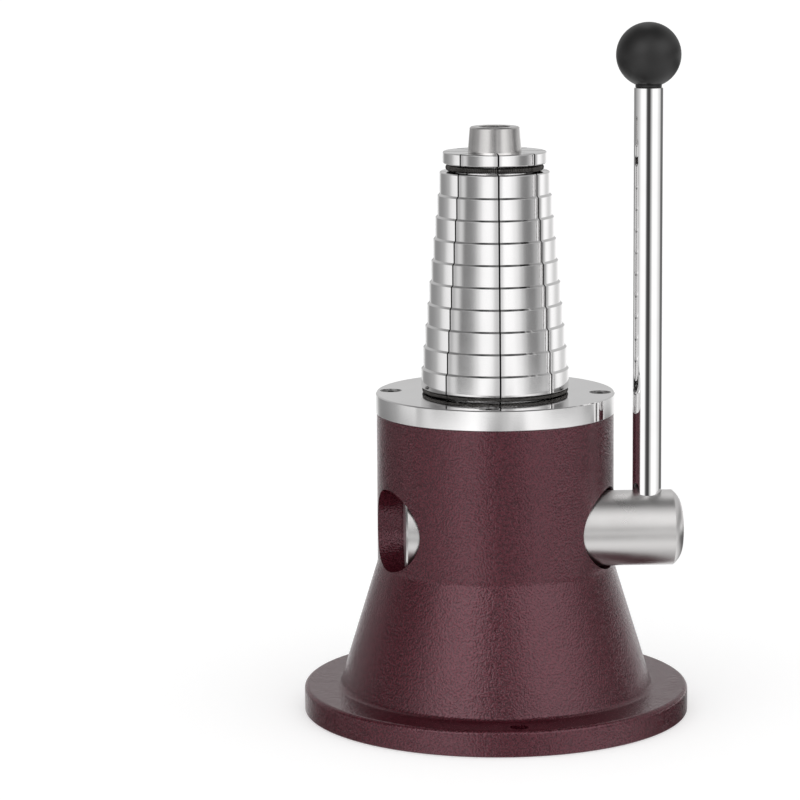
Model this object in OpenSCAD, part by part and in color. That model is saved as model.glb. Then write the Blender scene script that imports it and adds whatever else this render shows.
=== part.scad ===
// Bench ring stretcher: a stepped mandrel of eight jaws that a rack, a pinion
// and a hand lever spread from inside by means of a tapered wedge.
// Millimetres. The origin is on the bench under the mandrel's axis, +Z is up,
// the pinion shaft lies along X, and the operator stands on the -Y side.

/* [Base casting] */
// Diameter of the round flange that stands on the bench
flange_d = 184; // [170:1:200]
// Thickness of the flange
flange_h = 12.2; // [9:0.1:16]
// Rounding of the flange's upper edge
flange_round = 2; // [0.5:0.5:4]
// Width of the flange's ledge round the foot of the cone
foot_ledge = 17.2; // [15:0.2:22]
// Height of the cone between the flange and the barrel
cone_h = 59.7; // [48:0.1:66]
// Diameter of the straight barrel
barrel_d = 112.8; // [104:0.2:120]
// Height of the straight barrel
barrel_h = 71.8; // [66:0.2:84]
// Wall of the hollow cone, measured level
cone_wall = 9.5; // [7:0.5:12]
// Fillet where the cone meets the flange
foot_fillet = 2.5; // [1:0.5:5]
// Diameter of the clearance hole that crosses the barrel round the shaft
cross_hole_d = 39; // [37:0.5:42]

/* [Bench holes] */
// Number of bolt holes in the flange
bench_holes = 2; // [2:1:3]
// Diameter of each bolt hole, clear for an M8 bolt
bench_hole_d = 8.5; // [6.6:0.1:10]
// Distance of each bolt hole's centre from the flange's rim
bench_edge = 7; // [6:0.5:9]
// Turn of the first bolt hole from straight ahead, towards the lever
bench_hole_turn = 3; // [-10:1:10]

/* [Guide block] */
// Diameter of the steel guide block inside the barrel
block_d = 86.5; // [82:0.5:92]
// Height of the guide block
block_h = 80; // [76:1:82]
// Height of the ledge in the casting that carries the block
ledge_h = 6; // [4:0.5:8]
// Width of the ledge under the block
ledge_w = 7; // [5:0.5:8]
// Diameter of the dowel that stops the block from turning
dowel_d = 5; // [3:1:5]
// Length of the dowel
dowel_len = 12; // [10:1:12]

/* [Top plate] */
// Diameter of the plate that carries the jaws
plate_d = 113.6; // [108:0.2:120]
// Thickness of the plate
plate_h = 9.8; // [9:0.2:12]
// Chamfer of the plate's edges
plate_edge = 0.5; // [0.2:0.1:1]
// Diameter of the hole that the ram rises into
plate_hole_d = 50; // [49.5:0.5:51]
// Number of countersunk screws in the plate
plate_screws_n = 4; // [3:1:6]
// Turn of the first screw from straight ahead
screw_turn = -7.5; // [-15:0.5:15]
// Thread diameter of the plate's screws
screw_d = 5; // [4:1:5]
// Head diameter of the plate's screws
screw_head_d = 10; // [9:0.2:10.4]
// Length of the plate's screws
screw_len = 20; // [18:1:24]

/* [Ram and pinion] */
// Diameter of the ram
ram_d = 48; // [46:0.5:48.5]
// Height of the ram's lower end above the bench
ram_z = 46; // [40:1:50]
// Diameter of the pinion shaft
shaft_d = 35.5; // [34.2:0.1:36]
// Height of the shaft's axis above the bench
shaft_z = 91.1; // [88:0.1:94]
// Distance of the shaft's axis in front of the mandrel's axis
shaft_offset = 21.9; // [21.6:0.1:23]
// Reach of the shaft's domed end from the mandrel's axis
shaft_reach = 86.5; // [84:0.5:92]
// Length of the dome at the shaft's outer end
dome_len = 4.6; // [2:0.2:6]
// Width of the dome round the flat middle of that end
dome_w = 9; // [6:0.5:12]
// Reach of the shaft's plain end, which shows in the casting's left window
shaft_end = 44.4; // [43:0.2:46]
// Length of the toothed stretch of the shaft
pinion_len = 22; // [20:1:24]
// Width of the rack on the ram
rack_w = 18; // [14:1:19]

/* [Hand lever] */
// Distance of the lever rod from the mandrel's axis
rod_x = 70; // [66:0.5:73]
// Diameter of the lever rod
rod_d = 13.7; // [12:0.1:15]
// Height of the knob's centre above the bench
knob_z = 314; // [260:1:340]
// Diameter of the ball knob
knob_d = 30.3; // [26:0.1:36]
// Height of the narrow collar under the knob
collar_h = 1; // [0.6:0.1:2]
// Depth of the lever rod below the shaft's axis
rod_depth = 11; // [8:0.5:13]

/* [Jaws] */
// Diameter of the smallest step, the topmost one
step_top_d = 52; // [51:0.5:54]
// Growth in diameter from one step to the next
step_grow = 2; // [1.6:0.1:2]
// Number of steps on the mandrel
steps_n = 10; // [8:1:11]
// Height of each step but the lowest
step_h = 10.3; // [8:0.1:12]
// Height of the lowest step
lowest_step_h = 10.1; // [8:0.1:12]
// Chamfer at the top edge of each step
step_edge = 0.9; // [0.2:0.1:0.9]
// Width of the slit between two jaws
slit_w = 0.8; // [0.6:0.1:1.4]
// Diameter of the cap above the upper spring
cap_d = 49; // [48:0.2:51]
// Height of the cap
cap_h = 5.6; // [4:0.1:8]
// Height of the groove that holds the upper spring
groove_h = 3.8; // [3.7:0.1:5]
// Height of the rebate at the jaws' feet that holds the lower spring
rebate_h = 2.3; // [2.2:0.1:4]
// Length of each jaw's T-shaped foot
foot_len = 4; // [3.5:0.1:4.2]
// Width of the neck of each T-shaped foot
foot_neck_w = 6; // [4:0.2:7]
// Width of the head of each T-shaped foot
foot_head_w = 10; // [8:0.2:11]

/* [Wedge] */
// Diameter of the wedge where it leaves the jaws' cap
wedge_cap_d = 25.4; // [24:0.2:27]
// Stand of the wedge above the cap
wedge_stand = 11.6; // [8:0.2:16]
// Ratio of the wedge's height to the growth of its radius
wedge_ratio = 12; // [11.8:0.1:13]
// Thread diameter of the long bolt that holds the wedge on the ram
bolt_d = 8; // [6:1:8]
// Length of the long bolt under its head
bolt_len = 150; // [144:1:151]

/* [Springs] */
// Diameter of the upper spring's coils over the wire
upper_coil_d = 3.5; // [3:0.1:3.6]
// How far the upper spring lies inside the cap's rim
upper_inset = 1.05; // [0.5:0.05:1.5]
// Number of curls in the upper spring
upper_curls = 60; // [40:1:60]
// Diameter of the lower spring's coils over the wire
lower_coil_d = 2; // [1.8:0.1:2.1]
// How far the lower spring lies inside the lowest step
lower_inset = 0.3; // [0.1:0.05:0.4]
// Number of curls in the lower spring
lower_curls = 32; // [24:1:32]
// Diameter of the spring wire
wire_d = 0.5; // [0.4:0.1:0.6]

/* [Fits] */
// Radial clearance of a shaft or a ram in its bore
running_fit = 0.1; // [0.05:0.01:0.1]
// Gap between a piece and the seat it is pushed into
seat_fit = 0.2; // [0.1:0.05:0.3]
// Gap between the jaws and what they slide on
slide_fit = 0.1; // [0.05:0.05:0.2]
// Gap between the wedge's flank and the jaws, measured level
wedge_fit = 0.05; // [0.03:0.01:0.1]
// Gap between the meshed teeth, along the pitch line
backlash = 0.15; // [0.1:0.01:0.2]
// Gap left at the end of a stroke
end_gap = 0.5; // [0.4:0.1:0.8]
// Turn of the lever from upright to the end of its stroke
lever_turn = 75; // [60:5:75]

/* [Hidden] */
$fn = 96;
eps = 0.01;

// Foot of the cone, and circles of the flange's bolt holes and of the plate's
// screws, which stand in the middle of the barrel's wall
foot_d = flange_d - 2 * foot_ledge;
bench_pcd = flange_d - 2 * bench_edge;
screw_pcd = (block_d + barrel_d) / 2;

// Levels, from the bench upwards
cone_top = flange_h + cone_h;
casting_h = cone_top + barrel_h;
block_z = casting_h - block_h;
plate_top = casting_h + plate_h;
jaw_z = plate_top + slide_fit;
step_z = jaw_z + rebate_h;
groove_z = step_z + lowest_step_h + (steps_n - 1) * step_h;
cap_z = groove_z + groove_h;
cap_top = cap_z + cap_h;
wedge_top = cap_top + wedge_stand;

// Jaws: the nodes name each of the eight
jaws_n = 8;
jaw_sector = 360 / jaws_n;
step_bottom_d = step_top_d + (steps_n - 1) * step_grow;

// Wedge: its radius shrinks evenly upwards
function wedge_r(z) = wedge_cap_d / 2 + (cap_top - z) / wedge_ratio;
ram_top = cap_top - (ram_d / 2 - wedge_cap_d / 2) * wedge_ratio;

// Pinion and rack: standard 20 degree involute teeth, shifted outwards
pitch_d = 30;
pinion_teeth = 12;
gear_module = pitch_d / pinion_teeth;
pressure_angle = 20;
profile_shift = 0.3;
tooth_gap = 0.25 * gear_module;
pitch_r = pitch_d / 2;
base_r = pitch_r * cos(pressure_angle);
rack_line = pitch_r + gear_module * profile_shift;
rack_tip = rack_line - gear_module;
rack_pitch = PI * gear_module;
pinion_tip_r = shaft_d / 2 - 0.2;
pinion_root_r = rack_tip - tooth_gap;

// The ram's flat faces the shaft; above it the ram is full round
flat_gap = 0.4;
ram_flat = shaft_d / 2 + flat_gap;
ram_flat_y = ram_flat - shaft_offset;
ram_flat_top = shaft_z + shaft_d / 2 + 2 * gear_module;

// Stroke of the ram and of each jaw for the lever's full turn
ram_stroke = pitch_r * lever_turn * PI / 180;
jaw_stroke = ram_stroke / wedge_ratio / cos(jaw_sector / 2);
rack_below = ceil(ram_stroke / rack_pitch) + 1;

// Shaft: the screw that keeps it stands beside the ram, in a turned groove
shaft_edge = 0.8;
dog_d = 4;
dog_groove = dog_d + 0.6;
dog_depth = 2;
retainer_d = 6;
retainer_len = 10;
retainer_x = -pinion_len / 2 - 7.5;
retainer_z = shaft_z - shaft_d / 2 + dog_depth - flat_gap;
set_screw_d = 6;

// T-shaped feet and their slots
foot_r0 = plate_hole_d / 2 + slide_fit;
foot_r1 = foot_r0 + foot_len;
slot_r1 = foot_r1 + jaw_stroke + end_gap;
lip_h = 3.5;
foot_head_h = 3.2;
head_top = plate_top - lip_h - slide_fit;
head_bottom = head_top - foot_head_h;

// Springs
spring_seat = 0.15;
upper_ring_r = cap_d / 2 - upper_inset - upper_coil_d / 2;
groove_r = upper_ring_r - upper_coil_d / 2 - spring_seat;
lower_ring_r = step_bottom_d / 2 - lower_inset - lower_coil_d / 2;
rebate_r = lower_ring_r - lower_coil_d / 2 - spring_seat;
spring_end_gap = 1.2;

// Screws: a countersunk head's height is half its overhang; it lies sunk
csk_h = (screw_head_d - screw_d) / 2;
screw_sink = 0.4;
socket_af = 3;
bolt_head_d = bolt_d * 1.625;
bolt_head_h = bolt_d;
bolt_sink_d = bolt_head_d + 2;
bolt_sink = bolt_head_h + 2;
spigot_d = 20;
spigot_h = 8;

// Knob: a ball with a flat and a collar where the rod enters, round a
// threaded insert
collar_d = rod_d - 1.4;
knob_flat_z = knob_z - sqrt(pow(knob_d / 2, 2) - pow(collar_d / 2, 2));
knob_base_z = knob_flat_z - collar_h;
rod_edge = 0.5;
insert_d = 10.4;
insert_len = 15;
spigot_thread_d = 8;
spigot_thread_len = 12;

// Colours
burgundy = "#56333a";
steel = "#c4c3c3";
oiled = "#3a3835";
black = "#2b2b2b";
brass = "#b08d46";

// ---- shared shapes ----

// Puts children at an angle from straight ahead (-Y), counted towards +X,
// and at a distance from the mandrel's axis
module polar_place(turn, distance) {
    translate([distance * sin(turn), -distance * cos(turn), 0]) children();
}

// Lays a cylinder's axis along the pinion shaft, starting at x
module along_shaft(x) {
    translate([x, -shaft_offset, shaft_z]) rotate([0, 90, 0]) children();
}

// A hexagonal socket cut downwards from z = 0
module hex_socket(across_flats, depth) {
    translate([0, 0, -depth])
        cylinder(d = across_flats / cos(30), h = depth + eps, $fn = 6);
}

// A grub screw that stands on z = 0, with its socket in the upper end
// and a narrower dog point of the given size at the lower one
module grub_screw(d, len, dog_d, dog_len) {
    difference() {
        union() {
            cylinder(d = dog_d, h = dog_len + eps);
            translate([0, 0, dog_len]) cylinder(d1 = dog_d, d2 = d, h = (d - dog_d) / 2);
            translate([0, 0, dog_len + (d - dog_d) / 2])
                cylinder(d = d, h = len - dog_len - (d - dog_d) / 2);
        }
        translate([0, 0, len]) hex_socket(d / 2, d / 2);
    }
}

// ---- base casting ----

// Half section of the casting's outside: flange with a rounded edge,
// cone with a fillet at its foot, and straight barrel
module casting_section() {
    flange_r = flange_d / 2;
    foot_r = foot_d / 2;
    square([flange_r, flange_h - flange_round]);
    square([flange_r - flange_round, flange_h]);
    translate([flange_r - flange_round, flange_h - flange_round])
        circle(r = flange_round);
    polygon([[0, flange_h - eps], [foot_r, flange_h - eps], [foot_r, flange_h],
        [barrel_d / 2, cone_top], [barrel_d / 2, casting_h], [0, casting_h]]);
    cone_lean = atan((foot_r - barrel_d / 2) / cone_h);
    turn = 90 - cone_lean;
    reach = foot_fillet * tan(turn / 2);
    difference() {
        polygon([[foot_r - 1, flange_h - eps],
            [foot_r + reach, flange_h - eps],
            [foot_r + reach, flange_h],
            [foot_r - reach * sin(cone_lean), flange_h + reach * cos(cone_lean)],
            [foot_r - 1 - reach * sin(cone_lean), flange_h + reach * cos(cone_lean)]]);
        translate([foot_r + reach, flange_h + foot_fillet]) circle(r = foot_fillet);
    }
}

module base_casting() {
    lean = (foot_d - barrel_d) / 2 / cone_h;
    cavity_top = block_z - ledge_h;
    cavity_r0 = foot_d / 2 + lean * flange_h - cone_wall;
    cavity_r1 = cavity_r0 - lean * cavity_top;
    color(burgundy) difference() {
        rotate_extrude() casting_section();
        translate([0, 0, block_z]) cylinder(d = block_d + 2 * seat_fit, h = casting_h);
        translate([0, 0, cavity_top - eps])
            cylinder(d = block_d - 2 * ledge_w, h = casting_h);
        translate([0, 0, -eps])
            cylinder(r1 = cavity_r0, r2 = cavity_r1, h = cavity_top + eps);
        along_shaft(-barrel_d) cylinder(d = cross_hole_d, h = 2 * barrel_d);
        for (i = [0 : bench_holes - 1])
            polar_place(bench_hole_turn + i * 360 / bench_holes, bench_pcd / 2)
                translate([0, 0, -1]) cylinder(d = bench_hole_d, h = flange_h + 2);
        plate_screw_places() translate([0, 0, plate_top - screw_sink - screw_len - 2])
            cylinder(d = screw_d, h = screw_len);
        dowel_place() cylinder(d = dowel_d + 2 * eps, h = dowel_len + 2, center = true);
    }
}

// ---- guide block and its dowel ----

module dowel_place() {
    translate([0, block_d / 2 - ledge_w / 2, block_z]) children();
}

module guide_block() {
    color(steel) difference() {
        translate([0, 0, block_z]) cylinder(d = block_d, h = block_h);
        translate([0, 0, block_z - 1])
            cylinder(d = ram_d + 2 * running_fit, h = block_h + 2);
        along_shaft(-block_d) cylinder(d = shaft_d + 2 * running_fit, h = 2 * block_d);
        translate([retainer_x, -shaft_offset, block_z - 1])
            cylinder(d = retainer_d + 2 * eps, h = shaft_z - block_z);
        dowel_place() cylinder(d = dowel_d + 2 * eps, h = dowel_len + 0.6, center = true);
    }
}

module block_dowel() {
    color(steel) dowel_place() cylinder(d = dowel_d, h = dowel_len, center = true);
}

// ---- top plate and its screws ----

module plate_screw_places() {
    for (i = [0 : plate_screws_n - 1])
        polar_place(screw_turn + i * 360 / plate_screws_n, screw_pcd / 2) children();
}

// Radial T-slot under one jaw, open to the plate's hole
module t_slot(turn) {
    neck = foot_neck_w + 2 * seat_fit;
    head = foot_head_w + 2 * seat_fit;
    slot_z = head_bottom - slide_fit;
    slot_len = slot_r1 - plate_hole_d / 2 + 3;
    rotate([0, 0, turn]) {
        translate([-neck / 2, -slot_r1, slot_z])
            cube([neck, slot_len, plate_top - slot_z + 1]);
        translate([-head / 2, -slot_r1, slot_z])
            cube([head, slot_len, plate_top - lip_h - slot_z]);
    }
}

module top_plate() {
    plate_r = plate_d / 2;
    color(steel) difference() {
        translate([0, 0, casting_h]) rotate_extrude()
            polygon([[0, 0], [plate_r - plate_edge, 0], [plate_r, plate_edge],
                [plate_r, plate_h - plate_edge], [plate_r - plate_edge, plate_h],
                [0, plate_h]]);
        translate([0, 0, casting_h - 1]) cylinder(d = plate_hole_d, h = plate_h + 2);
        for (i = [0 : jaws_n - 1]) t_slot((i + 0.5) * jaw_sector);
        plate_screw_places() {
            translate([0, 0, casting_h - 1])
                cylinder(d = screw_d + 2 * seat_fit, h = plate_h + 2);
            translate([0, 0, plate_top - screw_sink - csk_h - seat_fit])
                cylinder(d1 = screw_d, d2 = screw_head_d + 2 * seat_fit, h = csk_h + seat_fit);
            translate([0, 0, plate_top - screw_sink - eps])
                cylinder(d = screw_head_d + 2 * seat_fit, h = screw_sink + 1);
        }
    }
}

module plate_screws() {
    color(oiled) plate_screw_places()
        translate([0, 0, plate_top - screw_sink]) difference() {
            union() {
                translate([0, 0, -screw_len]) cylinder(d = screw_d - 2 * eps, h = screw_len);
                translate([0, 0, -csk_h])
                    cylinder(d1 = screw_d - 2 * eps, d2 = screw_head_d, h = csk_h);
            }
            hex_socket(socket_af, csk_h);
        }
}

// ---- pinion shaft ----

// Angle between an involute's start and its point at radius r
function involute_turn(r) = let (c = sqrt(r * r / base_r / base_r - 1))
    c * 180 / PI - atan(c);

// Half angle of a pinion tooth at radius r
function tooth_half(r) = let (
    thick = gear_module * (PI / 2 + 2 * profile_shift * tan(pressure_angle)))
    thick / 2 / pitch_r * 180 / PI + involute_turn(pitch_r) - involute_turn(max(r, base_r));

// Points of one tooth about the angle mid, as [radius, angle]: up one flank
// from the root, and down the other
function tooth_points(mid) = let (
    n = 6,
    radii = [for (k = [0 : n]) base_r + (pinion_tip_r - base_r) * k / n])
    concat([[pinion_root_r, mid - tooth_half(base_r)]],
        [for (k = [0 : n]) [radii[k], mid - tooth_half(radii[k])]],
        [for (k = [n : -1 : 0]) [radii[k], mid + tooth_half(radii[k])]],
        [[pinion_root_r, mid + tooth_half(base_r)]]);

module pinion_outline() {
    polygon([for (i = [0 : pinion_teeth - 1], p = tooth_points((i + 0.5) * 360 / pinion_teeth))
        p[0] * [cos(p[1]), sin(p[1])]]);
}

// Section of the stretch outside the teeth: an arc that leaves the flat end
// smoothly and meets the cylinder at an edge
module shaft_section(len) {
    flat_r = shaft_d / 2 - dome_w;
    dome_r = (dome_w * dome_w + dome_len * dome_len) / (2 * dome_len);
    square([shaft_d / 2, len - dome_len]);
    square([flat_r, len]);
    intersection() {
        translate([flat_r, len - dome_r]) circle(r = dome_r);
        square([shaft_d / 2, len]);
    }
}

// Section of the plain stretch inside the teeth, chamfered at its end
module shaft_plain_section() {
    polygon([[0, 0], [shaft_d / 2 - shaft_edge, 0], [shaft_d / 2, shaft_edge],
        [shaft_d / 2, shaft_end - pinion_len / 2], [0, shaft_end - pinion_len / 2]]);
}

module pinion_shaft() {
    color(steel) difference() {
        union() {
            along_shaft(-shaft_end) rotate_extrude() shaft_plain_section();
            along_shaft(-pinion_len / 2) linear_extrude(pinion_len) pinion_outline();
            along_shaft(pinion_len / 2) rotate_extrude()
                shaft_section(shaft_reach - pinion_len / 2);
        }
        along_shaft(retainer_x - dog_groove / 2) difference() {
            cylinder(d = shaft_d + 2, h = dog_groove);
            translate([0, 0, -1]) cylinder(d = shaft_d - 2 * dog_depth, h = dog_groove + 2);
        }
        translate([rod_x, -shaft_offset, shaft_z - rod_depth])
            cylinder(d = rod_d + 2 * running_fit, h = shaft_d);
        along_shaft(rod_x) cylinder(d = set_screw_d + 2 * eps, h = shaft_d);
    }
}

module shaft_retaining_screw() {
    color(oiled) translate([retainer_x, -shaft_offset, retainer_z]) rotate([180, 0, 0])
        grub_screw(retainer_d, retainer_len, dog_d, dog_depth + flat_gap);
}

// ---- hand lever ----

module lever_rod() {
    color(steel) translate([rod_x, -shaft_offset, 0]) {
        translate([0, 0, shaft_z - rod_depth])
            cylinder(d = rod_d, h = knob_base_z - rod_edge - shaft_z + rod_depth);
        translate([0, 0, knob_base_z - rod_edge])
            cylinder(d1 = rod_d, d2 = rod_d - 2 * rod_edge, h = rod_edge);
        translate([0, 0, knob_base_z - eps])
            cylinder(d = spigot_thread_d, h = spigot_thread_len + eps);
    }
}

module rod_set_screw() {
    start = rod_x + rod_d / 2;
    color(oiled) along_shaft(start)
        grub_screw(set_screw_d, shaft_reach - start - 1, set_screw_d - 2, 1);
}

module lever_knob() {
    color(black) translate([rod_x, -shaft_offset, 0]) difference() {
        union() {
            difference() {
                translate([0, 0, knob_z]) sphere(d = knob_d);
                translate([0, 0, knob_flat_z - knob_d]) cylinder(d = knob_d, h = knob_d);
            }
            translate([0, 0, knob_base_z]) cylinder(d = collar_d, h = 2 * collar_h);
        }
        translate([0, 0, knob_base_z - 1]) cylinder(d = insert_d, h = insert_len + 1);
    }
}

module knob_insert() {
    color(brass) translate([rod_x, -shaft_offset, knob_base_z]) difference() {
        cylinder(d = insert_d, h = insert_len);
        translate([0, 0, -1])
            cylinder(d = spigot_thread_d + 2 * eps, h = spigot_thread_len + 1.5);
    }
}

// ---- ram with its rack ----

// Half thickness of a rack tooth at distance d from the shaft's axis
function rack_half(d) = (rack_pitch / 2 - backlash) / 2 + (d - rack_line) * tan(pressure_angle);

// One rack tooth, across the ram, at height z
module rack_tooth(z) {
    root = ram_flat + 1;
    translate([-rack_w / 2, 0, 0]) rotate([90, 0, 90]) linear_extrude(rack_w)
        polygon([[root - shaft_offset, z - rack_half(ram_flat)],
            [ram_flat_y, z - rack_half(ram_flat)],
            [rack_tip - shaft_offset, z - rack_half(rack_tip)],
            [rack_tip - shaft_offset, z + rack_half(rack_tip)],
            [ram_flat_y, z + rack_half(ram_flat)],
            [root - shaft_offset, z + rack_half(ram_flat)]]);
}

module ram_rack() {
    color(steel) difference() {
        union() {
            difference() {
                translate([0, 0, ram_z]) cylinder(d = ram_d, h = ram_top - ram_z);
                translate([-ram_d, ram_flat_y - ram_d, ram_z - 1])
                    cube([2 * ram_d, ram_d, ram_flat_top - ram_z + 1]);
            }
            for (k = [-rack_below : 1]) rack_tooth(shaft_z + k * rack_pitch);
            translate([0, 0, ram_top - eps]) cylinder(d = spigot_d, h = spigot_h + eps);
        }
        translate([0, 0, wedge_top - bolt_sink - bolt_len - 1])
            cylinder(d = bolt_d, h = bolt_len);
    }
}

// ---- wedge and its bolt ----

module wedge_cone() {
    edge = 0.6;
    color(steel) difference() {
        rotate_extrude() polygon([[0, ram_top], [wedge_r(ram_top), ram_top],
            [wedge_r(wedge_top - edge), wedge_top - edge],
            [wedge_r(wedge_top) - edge, wedge_top], [0, wedge_top]]);
        translate([0, 0, ram_top - 1])
            cylinder(d = spigot_d + 2 * running_fit, h = spigot_h + 1.5);
        translate([0, 0, ram_top]) cylinder(d = bolt_d + 2 * seat_fit, h = wedge_top - ram_top);
        translate([0, 0, wedge_top - bolt_sink]) cylinder(d = bolt_sink_d, h = bolt_sink + 1);
    }
}

module wedge_bolt() {
    color(oiled) translate([0, 0, wedge_top - bolt_sink]) difference() {
        union() {
            cylinder(d = bolt_head_d, h = bolt_head_h);
            translate([0, 0, -bolt_len]) cylinder(d = bolt_d - 2 * eps, h = bolt_len + eps);
        }
        translate([0, 0, bolt_head_h]) hex_socket(bolt_d * 0.75, bolt_head_h / 2);
    }
}

// ---- jaws ----

// Radius of step k, counted downwards from 1 at the top, and the height of its top
function step_r(k) = (step_top_d + (k - 1) * step_grow) / 2;
function step_top(k) = groove_z - (k - 1) * step_h;

// Half section of the whole mandrel, from the feet up the steps to the cap,
// and back down the tapered bore
module mandrel_section() {
    edge = 0.4;
    cap_r = cap_d / 2;
    polygon(concat(
        [[rebate_r, jaw_z], [rebate_r, step_z], [step_r(steps_n) - edge, step_z],
            [step_r(steps_n), step_z + edge]],
        [for (k = [steps_n : -1 : 2]) each
            [[step_r(k), step_top(k) - step_edge], [step_r(k) - step_edge, step_top(k)],
                [step_r(k - 1), step_top(k)]]],
        [[step_r(1), groove_z - edge], [step_r(1) - edge, groove_z],
            [groove_r, groove_z], [groove_r, cap_z], [cap_r - edge, cap_z],
            [cap_r, cap_z + edge], [cap_r, cap_top - edge], [cap_r - edge, cap_top],
            [wedge_r(cap_top) + wedge_fit, cap_top],
            [wedge_r(jaw_z) + wedge_fit, jaw_z]]));
}

// T-shaped foot that slides in the plate's slot
module jaw_foot() {
    translate([-foot_neck_w / 2, -foot_r1, head_top - eps])
        cube([foot_neck_w, foot_len, jaw_z - head_top + 2 * eps]);
    translate([-foot_head_w / 2, -foot_r1, head_bottom])
        cube([foot_head_w, foot_len, foot_head_h]);
}

// Jaw number i: its share of the mandrel, less half a slit on each side
module jaw(i) {
    half = jaw_sector / 2;
    far = step_bottom_d;
    apex = -slit_w / 2 / sin(half);
    color(steel) rotate([0, 0, (i - 0.5) * jaw_sector]) {
        intersection() {
            rotate_extrude() mandrel_section();
            translate([0, 0, jaw_z - 1]) linear_extrude(cap_top - jaw_z + 2)
                polygon([[0, apex], [-far * tan(half), apex - far], [far * tan(half), apex - far]]);
        }
        jaw_foot();
    }
}

// ---- garter springs ----

// Point on the wire's centre line, after some curls: a coil that winds round
// a ring and stops just short of its own start, at the back
function wire_point(ring_r, coil_r, curls, t) = let (
    sweep = 360 - spring_end_gap / ring_r * 180 / PI,
    a = 90 + (360 - sweep) / 2 + sweep * t,
    c = 360 * curls * t,
    r = ring_r + coil_r * cos(c))
    [r * cos(a), r * sin(a), coil_r * sin(c)];

// Corner k of the wire's six-sided section at parameter t
function wire_corner(ring_r, coil_r, curls, t, k) = let (
    dt = 0.0005,
    p = wire_point(ring_r, coil_r, curls, t),
    along = wire_point(ring_r, coil_r, curls, t + dt) - wire_point(ring_r, coil_r, curls, t - dt),
    core = wire_point(ring_r, 0, curls, t),
    side = cross(along, p - core) / norm(cross(along, p - core)),
    out = cross(side, along) / norm(cross(side, along)))
    p + wire_d / 2 * (cos(k * 60) * out + sin(k * 60) * side);

module garter_spring(ring_r, coil_d, curls, z, label) {
    rings = curls * 8;
    coil_r = (coil_d - wire_d) / 2;
    centre = [for (j = [0 : rings]) wire_point(ring_r, coil_r, curls, j / rings)];
    near = min([for (j = [0 : rings - 12], d = [5 : 12]) norm(centre[j + d] - centre[j])]);
    ends = norm(centre[rings] - centre[0]);
    echo(str(label, ": least gap of the wire to itself, mm"), min(near, ends) - wire_d);
    translate([0, 0, z]) polyhedron(
        points = [for (j = [0 : rings], k = [0 : 5])
            wire_corner(ring_r, coil_r, curls, j / rings, k)],
        faces = concat(
            [for (k = [1 : 4]) [0, k, k + 1]],
            [for (k = [1 : 4]) [rings * 6, rings * 6 + k + 1, rings * 6 + k]],
            [for (j = [0 : rings - 1], k = [0 : 5]) each
                let (a = j * 6 + k, b = j * 6 + (k + 1) % 6)
                [[a, a + 6, b + 6], [a, b + 6, b]]]));
}

module upper_garter_spring() {
    color(oiled) garter_spring(upper_ring_r, upper_coil_d, upper_curls,
        groove_z + groove_h / 2, "upper spring");
}

module lower_garter_spring() {
    color(oiled) garter_spring(lower_ring_r, lower_coil_d, lower_curls,
        jaw_z + rebate_h / 2, "lower spring");
}

base_casting();
guide_block();
block_dowel();
top_plate();
plate_screws();
pinion_shaft();
shaft_retaining_screw();
lever_rod();
rod_set_screw();
lever_knob();
knob_insert();
ram_rack();
wedge_cone();
wedge_bolt();
jaw(1);  // jaw_1
jaw(2);  // jaw_2
jaw(3);  // jaw_3
jaw(4);  // jaw_4
jaw(5);  // jaw_5
jaw(6);  // jaw_6
jaw(7);  // jaw_7
jaw(8);  // jaw_8
upper_garter_spring();
lower_garter_spring();
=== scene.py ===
"""Looks of the bench ring stretcher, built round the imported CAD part.

Every piece stands for a CAD node of the same place and size. Lengths are in
metres: the origin is on the bench under the mandrel's axis, +Z is up, the
pinion shaft lies along X, and the operator stands on the -Y side.
"""
import math

import bmesh
import bpy
import numpy as np
from mathutils import Matrix, Quaternion, Vector


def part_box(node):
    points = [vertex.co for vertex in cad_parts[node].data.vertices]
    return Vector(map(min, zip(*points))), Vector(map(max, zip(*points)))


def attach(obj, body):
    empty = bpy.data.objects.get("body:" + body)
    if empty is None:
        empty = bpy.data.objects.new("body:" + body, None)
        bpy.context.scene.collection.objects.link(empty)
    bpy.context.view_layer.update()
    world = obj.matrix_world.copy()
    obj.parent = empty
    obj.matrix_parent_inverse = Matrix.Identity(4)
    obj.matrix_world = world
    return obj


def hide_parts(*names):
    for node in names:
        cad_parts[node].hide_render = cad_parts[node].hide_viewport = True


MM = 0.001
# points nearer than TOUCHING are joined, and nearer the axis than ON_AXIS lie on it
TOUCHING = 1e-7
ON_AXIS = 1e-9
# how far a cutting tool runs past the face it opens
CUT_PAST = 1.0 * MM
JAWS = 8
SECTOR = 2 * math.pi / JAWS

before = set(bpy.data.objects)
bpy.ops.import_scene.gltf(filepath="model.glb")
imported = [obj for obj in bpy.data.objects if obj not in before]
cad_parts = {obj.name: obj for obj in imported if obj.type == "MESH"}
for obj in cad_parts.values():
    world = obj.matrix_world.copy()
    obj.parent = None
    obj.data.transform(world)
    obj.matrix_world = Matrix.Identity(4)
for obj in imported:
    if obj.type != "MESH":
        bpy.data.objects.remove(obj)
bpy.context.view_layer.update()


# ---- places and sizes, read from the frame ----

def span(node):
    """Lowest and highest corner of a CAD node, as two arrays."""
    lo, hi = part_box(node)
    return np.array(lo), np.array(hi)


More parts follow.
